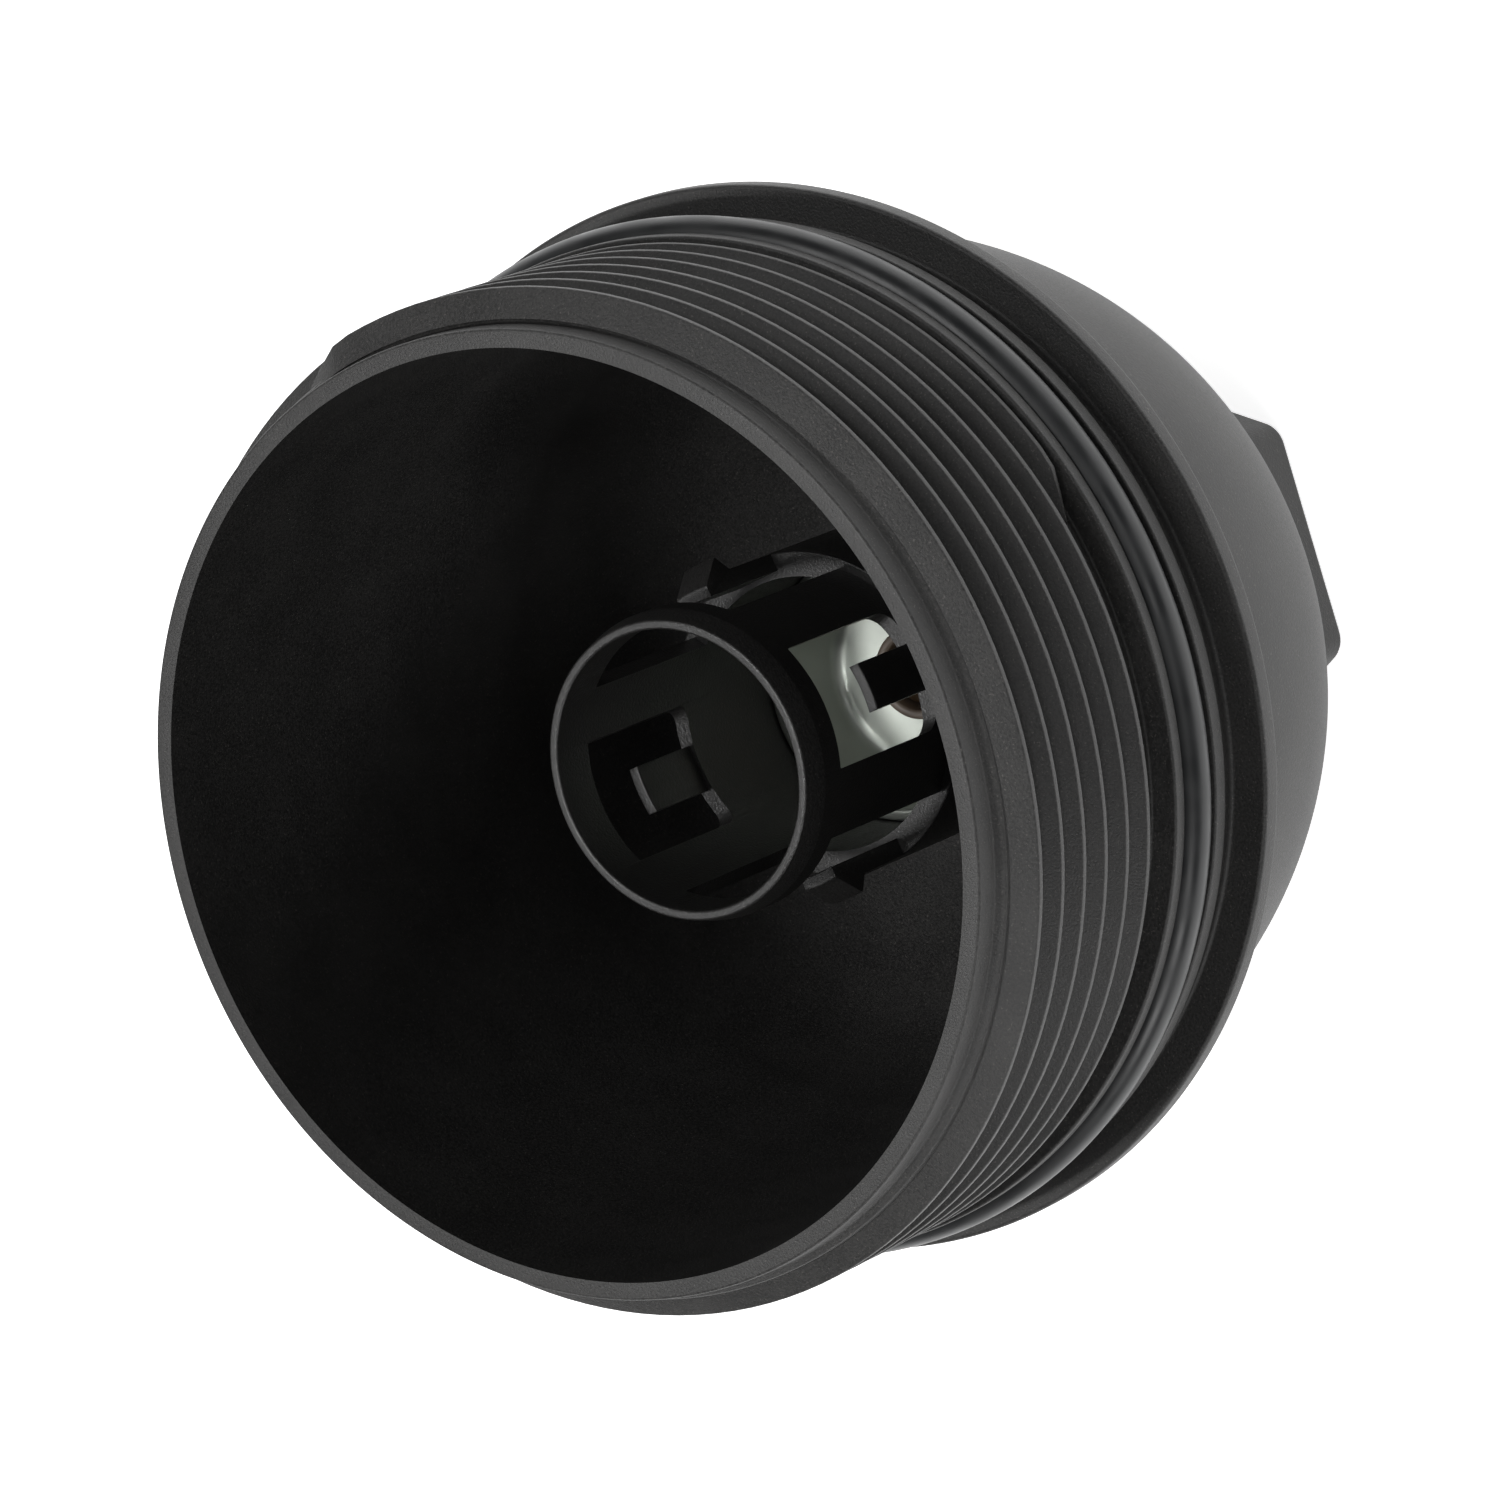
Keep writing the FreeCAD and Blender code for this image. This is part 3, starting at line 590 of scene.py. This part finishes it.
# %% Standpipe
def wedge(azimuth, half_angle, low, high):
    """A window cutter with sides that point at the axis."""
    maker = bmesh.new()
    steps = 12
    rows = []
    for reach in (6.0, 20.0):
        for z in (low, high):
            angles = [math.radians(azimuth + half_angle * (2 * k / steps - 1)) for k in range(steps + 1)]
            rows.append([maker.verts.new((reach * math.cos(a), reach * math.sin(a), z)) for a in angles])
    inner_low, inner_high, outer_low, outer_high = rows
    walls = (
        (inner_low, inner_high), (outer_high, outer_low),
        (inner_high, outer_high), (outer_low, inner_low),
    )
    for a, b in walls:
        for k in range(steps):
            maker.faces.new((a[k], a[k + 1], b[k + 1], b[k]))
    maker.faces.new((inner_low[0], inner_high[0], outer_high[0], outer_low[0]))
    maker.faces.new((inner_low[-1], outer_low[-1], outer_high[-1], inner_high[-1]))
    bmesh.ops.recalc_face_normals(maker, faces=maker.faces)
    return maker


def slab(azimuth, half_width, low, high, corner):
    """A square window cutter whose lower corners are rounded."""
    side = rounded([
        (-half_width, low, corner), (-half_width, high, 0.15),
        (half_width, high, 0.15), (half_width, low, corner),
    ])
    maker = bmesh.new()
    near = [maker.verts.new((7.0, p.x, p.y)) for p in side]
    far = [maker.verts.new((17.0, p.x, p.y)) for p in side]
    maker.faces.new(near)
    maker.faces.new(list(reversed(far)))
    for k in range(len(side)):
        after = (k + 1) % len(side)
        maker.faces.new((near[k], far[k], far[after], near[after]))
    bmesh.ops.rotate(maker, verts=maker.verts, matrix=Matrix.Rotation(math.radians(azimuth), 3, "Z"))
    bmesh.ops.recalc_face_normals(maker, faces=maker.faces)
    return maker


def cut_and_soften(body_maker, cutters, bevel_mm):
    """Cuts the cutters out of a mesh and rounds the edges that this leaves."""
    mesh = bpy.data.meshes.new("blank")
    bmesh.ops.recalc_face_normals(body_maker, faces=body_maker.faces)
    body_maker.to_mesh(mesh)
    blank = bpy.data.objects.new("blank", mesh)
    bpy.context.scene.collection.objects.link(blank)
    tools = []
    for number, maker in enumerate(cutters):
        cutter_mesh = bpy.data.meshes.new(f"cutter{number}")
        maker.to_mesh(cutter_mesh)
        tool = bpy.data.objects.new(f"cutter{number}", cutter_mesh)
        bpy.context.scene.collection.objects.link(tool)
        cut = blank.modifiers.new(f"cut{number}", "BOOLEAN")
        cut.object = tool
        cut.operation = "DIFFERENCE"
        cut.solver = "EXACT"
        tools.append(tool)
    soften = blank.modifiers.new("soften", "BEVEL")
    soften.width = bevel_mm
    soften.segments = 2
    soften.limit_method = "ANGLE"
    soften.angle_limit = math.radians(50)
    evaluated = blank.evaluated_get(bpy.context.evaluated_depsgraph_get())
    result = bmesh.new()
    result.from_mesh(evaluated.to_mesh())
    for made in tools + [blank]:
        bpy.data.objects.remove(made)
    return result


pipe_profile = rounded([
    (BORE_RADIUS, PIPE_TOP, 0.2), (RIM_RADIUS, PIPE_TOP, 0.2), (PIPE_RADIUS, PIPE_TOP - RIM_TAPER, 1.0),
    (PIPE_RADIUS, LEDGE, 0), (COLLAR_RADIUS, LEDGE, 0.15), (COLLAR_RADIUS, PIPE_FOOT, 0.3),
    (BORE_RADIUS, PIPE_FOOT, 0.2), (BORE_RADIUS, CAGE_TOP, 0), (STEP_RADIUS, CAGE_TOP, 0),
    (STEP_RADIUS, CUP_STEP, 0.1), (BORE_RADIUS, CUP_STEP, 0),
])
windows = [wedge(azimuth, ARM_WINDOW_HALF, LEDGE, WINDOW_TOP) for azimuth in (0, 180)]
windows += [slab(azimuth, TONGUE_WINDOW_HALF, SILL, WINDOW_TOP, 1.2) for azimuth in (-90, 90)]
windows += [slab(azimuth, PORT_HALF, PORT_LOW, PORT_HIGH, 0.4) for azimuth in (0, 90, 180, 270)]
pipe_maker = cut_and_soften(turned(lambda azimuth: pipe_profile, 144), windows, 0.12)
pipe = finished("pipe", pipe_maker, PIPE_NYLON, "cap", ("standpipe",), sharp=35.0)

# %% [markdown]
# ## Snap arms and tongues
# Each arm is a slice of a turned ring, so it is drawn as a profile whose points keep their
# distance from the axis while they step across the width. A snap arm narrows from its root to its
# barb. The barb has a long slope that rides over the cartridge and a short back that holds it.

# %% Arms and tongues
def ring_slice(corners, width_at, azimuth, bevel_mm, flat_inside):
    """A slice of a turned profile, drawn facing +X and then turned to its azimuth.

    width_at gives its width at a height.
    """
    steps = 8
    maker = bmesh.new()
    rows = []
    for k in range(steps + 1):
        row = []
        for point in corners:
            y = width_at(point.y) * (k / steps - 0.5)
            curved = math.sqrt(point.x ** 2 - y ** 2)
            x = max(curved, flat_inside) if point.x <= flat_inside + 0.01 else curved
            row.append(maker.verts.new((x, y, point.y)))
        rows.append(row)
    count = len(corners)
    for row, following in zip(rows, rows[1:]):
        for k in range(count):
            after = (k + 1) % count
            maker.faces.new((row[k], following[k], following[after], row[after]))
    maker.faces.new(rows[0])
    maker.faces.new(list(reversed(rows[-1])))
    bmesh.ops.recalc_face_normals(maker, faces=maker.faces)
    softened = cut_and_soften(maker, [], bevel_mm)
    bmesh.ops.rotate(softened, verts=softened.verts, matrix=Matrix.Rotation(math.radians(azimuth), 3, "Z"))
    return softened


ARM_ROOT_RADIUS = 0.775
ARM_ROOT_WIDTH = 4.5
ARM_HEAD_WIDTH = 3.1
ARM_TIP = HEIGHT - 26.9
ARM_TIP_STEP = 0.6
BARB_Z = HEIGHT - 29.3
BARB_FOOT = HEIGHT - 30.5
BARB_PROUD = 1.25
TONGUE_INNER = 11.1
TONGUE_ROOT_RADIUS = 0.45
TONGUE_TIP = HEIGHT - 26.3
TONGUE_WIDTH = 2 * PIPE_RADIUS * math.sin(math.radians(9))


def arm_width(z):
    """Full width of a snap arm, which narrows from its root to the foot of its barb."""
    share = min(max((z - LEDGE) / (BARB_FOOT - LEDGE), 0.0), 1.0)
    return ARM_ROOT_WIDTH - (ARM_ROOT_WIDTH - ARM_HEAD_WIDTH) * share


def snap_arm(name, body, azimuth, node):
    inner = COLLAR_RADIUS - 2 * ARM_ROOT_RADIUS
    low = LEDGE - ARM_ROOT_RADIUS
    corners = rounded([
        (inner, low, 0), (inner, LEDGE, 0), (inner, ARM_TIP, 0.12),
        (COLLAR_RADIUS - ARM_TIP_STEP, ARM_TIP, 0.25), (COLLAR_RADIUS + BARB_PROUD, BARB_Z, 0.18),
        (COLLAR_RADIUS, BARB_FOOT, 0.25), (COLLAR_RADIUS, LEDGE, 0), (COLLAR_RADIUS, low, 0),
    ])
    maker = ring_slice(corners, arm_width, azimuth, 0.10, inner)
    return finished(name, maker, PIPE_NYLON, body, (node,), sharp=35.0)


def latch_tongue(name, body, azimuth, node):
    low = SILL - TONGUE_ROOT_RADIUS
    corners = rounded([
        (TONGUE_INNER, low, 0), (TONGUE_INNER, TONGUE_TIP, 0.15),
        (PIPE_RADIUS, TONGUE_TIP, 0.15), (PIPE_RADIUS, low, 0),
    ])
    maker = ring_slice(corners, lambda z: TONGUE_WIDTH, azimuth, 0.1, TONGUE_INNER)
    return finished(name, maker, PIPE_NYLON, body, (node,), sharp=35.0)


arm_right = snap_arm("barb_arm_right", "arm_right", 0, "snap_arm_right")
arm_left = snap_arm("barb_arm_left", "arm_left", 180, "snap_arm_left")
tongue_front = latch_tongue("spring_tongue_front", "tongue_front", -90, "latch_tongue_front")
tongue_rear = latch_tongue("spring_tongue_rear", "tongue_rear", 90, "latch_tongue_rear")

# %% [markdown]
# ## The bypass valve
# A pressed cup closes the bore and carries a rubber seat. The valve's nose shows in the hole.
# The cup is thin sheet, so both faces follow the same bends one thickness apart.

# %% Cup, seat and valve
SHEET = 0.8
CUP_RIM = HEIGHT - 45.0
CUP_FLOOR = HEIGHT - 50.6
CUP_RIM_RADIUS = 10.75
CUP_MOUTH_RADIUS = 9.9
CUP_FLOOR_RADIUS = 7.9
HOLE = 3.25
UNDER_RIM = CUP_RIM - SHEET
UNDER_FLOOR = CUP_FLOOR - SHEET
SEAT_LOW = UNDER_FLOOR - 0.7
SEAT_HIGH = CUP_FLOOR + 1.3
SEAT_INNER = 2.9
SEAT_OUTER = 3.65
HEAD_TOP = SEAT_LOW - 0.02
cup = turned_piece("pressed_cup", [
    (HOLE, CUP_FLOOR, 0.15), (CUP_FLOOR_RADIUS, CUP_FLOOR, 1.2), (CUP_MOUTH_RADIUS, CUP_RIM, 0.3),
    (CUP_RIM_RADIUS, CUP_RIM, 0.2), (CUP_RIM_RADIUS, UNDER_RIM, 0.2), (CUP_MOUTH_RADIUS, UNDER_RIM, 0.3),
    (CUP_FLOOR_RADIUS + 0.4, UNDER_FLOOR, 1.2), (HOLE, UNDER_FLOOR, 0.15),
], ZINC, "cap", ("valve_cup",), 144)
seat = turned_piece("rubber_seat", [
    (SEAT_INNER, SEAT_LOW, 0.2), (SEAT_OUTER, SEAT_LOW, 0.25), (SEAT_OUTER, UNDER_FLOOR, 0),
    (HOLE, UNDER_FLOOR, 0), (HOLE, CUP_FLOOR, 0), (SEAT_OUTER, CUP_FLOOR, 0.1),
    (SEAT_OUTER, SEAT_HIGH, 0.3), (SEAT_INNER, SEAT_HIGH, 0.3),
], SEAT_RUBBER, "cap", ("seat_seal",), 144)
valve_low, valve_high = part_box("valve_poppet")
NOSE = valve_high.z / MM
TAIL = valve_low.z / MM
clip_low, clip_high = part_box("stem_clip")
CLIP_LOW = clip_low.z / MM
CLIP_HIGH = clip_high.z / MM
HEAD_LOW = HEAD_TOP - 1.6
HEAD_RADIUS = 5.0
NOSE_RADIUS = 2.6
STEM_RADIUS = 1.5
NECK_RADIUS = 1.15
valve_points = rounded([
    (0, NOSE, 0), (NOSE_RADIUS * 0.6, NOSE, 0.5), (NOSE_RADIUS, NOSE - NOSE_RADIUS * 0.2, 0.2),
    (NOSE_RADIUS, HEAD_TOP, 0.1), (HEAD_RADIUS, HEAD_TOP, 0.2), (HEAD_RADIUS, HEAD_LOW, 0.3),
    (STEM_RADIUS, HEAD_LOW, 0.3), (STEM_RADIUS, CLIP_HIGH, 0), (NECK_RADIUS, CLIP_HIGH, 0),
    (NECK_RADIUS, CLIP_LOW, 0), (STEM_RADIUS, CLIP_LOW, 0), (STEM_RADIUS, TAIL, 0.3), (0, TAIL, 0),
], closed=False)
valve_maker = turned(lambda azimuth: valve_points, 96, around=False)
valve = finished("valve_stem_and_head", valve_maker, BRONZE, "valve", ("valve_poppet",))

# %% [markdown]
# ## The valve spring
# The coil is a wire swept up a helix, made by the same tree as the thread with a round section.
# It shortens as the valve opens. Here it is given a mesh of its own.

# %% Spring
spring_low, spring_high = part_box("valve_spring")
WIRE_RADIUS = 0.4
COIL_RADIUS = 3.9
COIL_TURNS = 6.0
COIL_LEAD_IN = 2.0
coil_low = spring_low.z / MM + WIRE_RADIUS
coil_run = spring_high.z / MM - WIRE_RADIUS - coil_low
wire_section = circle_points(Vector((0, 0)), WIRE_RADIUS, 0, math.tau, 12)[:-1]
coil_mesh = swept_helix("coil", loop_mesh(wire_section), COIL_RADIUS, coil_run, COIL_TURNS,
                        COIL_LEAD_IN, WIRE, coil_low, 0.0)
coil = placed("coil_spring", coil_mesh, WIRE, "cap", ("valve_spring",))
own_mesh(coil)

# %% [markdown]
# ## Small pieces kept from the frame
# The foot seal, the stem clip and the spoked cage already have their true shape, and they sit
# deep in the cap. They keep their meshes and get the same finishes as their neighbours.

# %% Finishes for the kept pieces
for node, material in (("foot_seal", SEAL_RUBBER), ("stem_clip", WIRE), ("valve_cage", PIPE_NYLON)):
    kept = nodes[node].data
    for index in range(len(kept.materials)):
        kept.materials[index] = material
    if not kept.materials:
        kept.materials.append(material)
    print(node, "finish", material.name)

# %% [markdown]
# ## Floor and light
# A pale floor that glows a little takes the place of a paper sweep, so no hard shadow falls on it.
# The lamps are large and far. One small lamp looks down into the mouth and lights the bowl.

# %% Floor, lamps and sky
LAMP_DISTANCE = 1.2
LAMP_SIZE = 0.5


def lamp(name, azimuth, elevation, power, size=LAMP_SIZE):
    light = bpy.data.lights.new(name, "AREA")
    light.shape = "DISK"
    light.size = size
    light.energy = power
    turn = look(azimuth, elevation, 0)
    holder = bpy.data.objects.new(name, light)
    centre = Vector((0, 0, HEIGHT / 2 * MM))
    holder.matrix_world = Matrix.Translation(centre + turn @ Vector((0, 0, LAMP_DISTANCE))) @ turn.to_4x4()
    bpy.context.scene.collection.objects.link(holder)


floor_maker = bmesh.new()
bmesh.ops.create_grid(floor_maker, x_segments=1, y_segments=1, size=4.0)
floor_mesh = bpy.data.meshes.new("floor")
floor_maker.to_mesh(floor_mesh)
floor_maker.free()
floor = bpy.data.objects.new("floor", floor_mesh)
bpy.context.scene.collection.objects.link(floor)
paper = Finish("paper", Roughness=0.9, Emission_Color=(1, 1, 1, 1), Emission_Strength=0.80)
paper.surface(Base_Color=paper.mix(paper.noise(0.01, 2.0), grey(0.90), grey(0.93)))
floor_mesh.materials.append(paper.material)

world = bpy.data.worlds.new("sky")
bpy.context.scene.world = world
world.use_nodes = True
world.node_tree.nodes["Background"].inputs["Color"].default_value = (1, 1, 1, 1)
world.node_tree.nodes["Background"].inputs["Strength"].default_value = 0.03
bpy.context.scene.view_settings.view_transform = "Standard"
lamp("front", -92, 54, 1.5)
lamp("top", 0, 58, 3.6)
lamp("left", -168, 38, 4.6)
lamp("back", 90, 45, 1.8)
lamp("mouth", 88, 81, 8.0, size=0.10)
